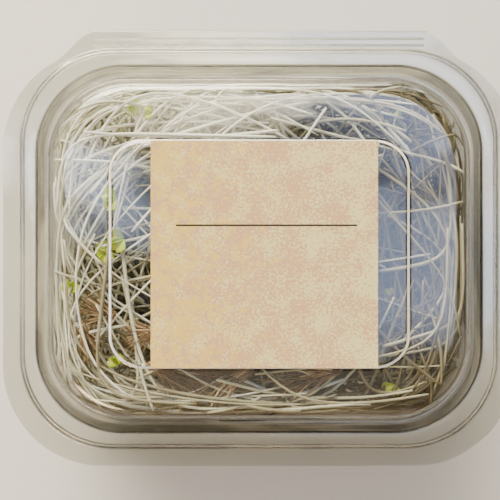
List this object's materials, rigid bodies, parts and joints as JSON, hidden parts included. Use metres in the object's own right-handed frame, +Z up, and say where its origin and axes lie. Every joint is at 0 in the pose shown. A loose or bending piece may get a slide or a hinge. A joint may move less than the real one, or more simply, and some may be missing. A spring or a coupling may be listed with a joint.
{
  "type": "hinged clamshell tray of microgreens",
  "caption": "Clear rounded clamshell tray with a hinged domed lid, a blank square paper label and a heap of cut sprout stems inside.",
  "frame": {"origin": "on the table under the middle of the closed clamshell's outline", "axes": "+Z up out of the lid, +Y towards the hinge at the back, +X along the long side to the right as the front is faced"},
  "size_m": [0.149, 0.1262, 0.0515],
  "materials": {
    "clear_tray": "clear gloss PET",
    "clear_lid": "clear gloss PET",
    "label_paper": "matte kraft paper",
    "greens": "moist cream stems with green seed leaves"
  },
  "bodies": {
    "tray": {"tray": "clear_tray", "microgreens": "greens"},
    "lid": {"lid": "clear_lid", "label": "label_paper"}
  },
  "joints": [
    {"name": "lid_hinge", "type": "hinge", "parent": "tray", "child": "lid", "pos_m": [0, 0.0634, 0.03815], "axis": [-1, 0, 0], "range_deg": [0, 180]}
  ]
}
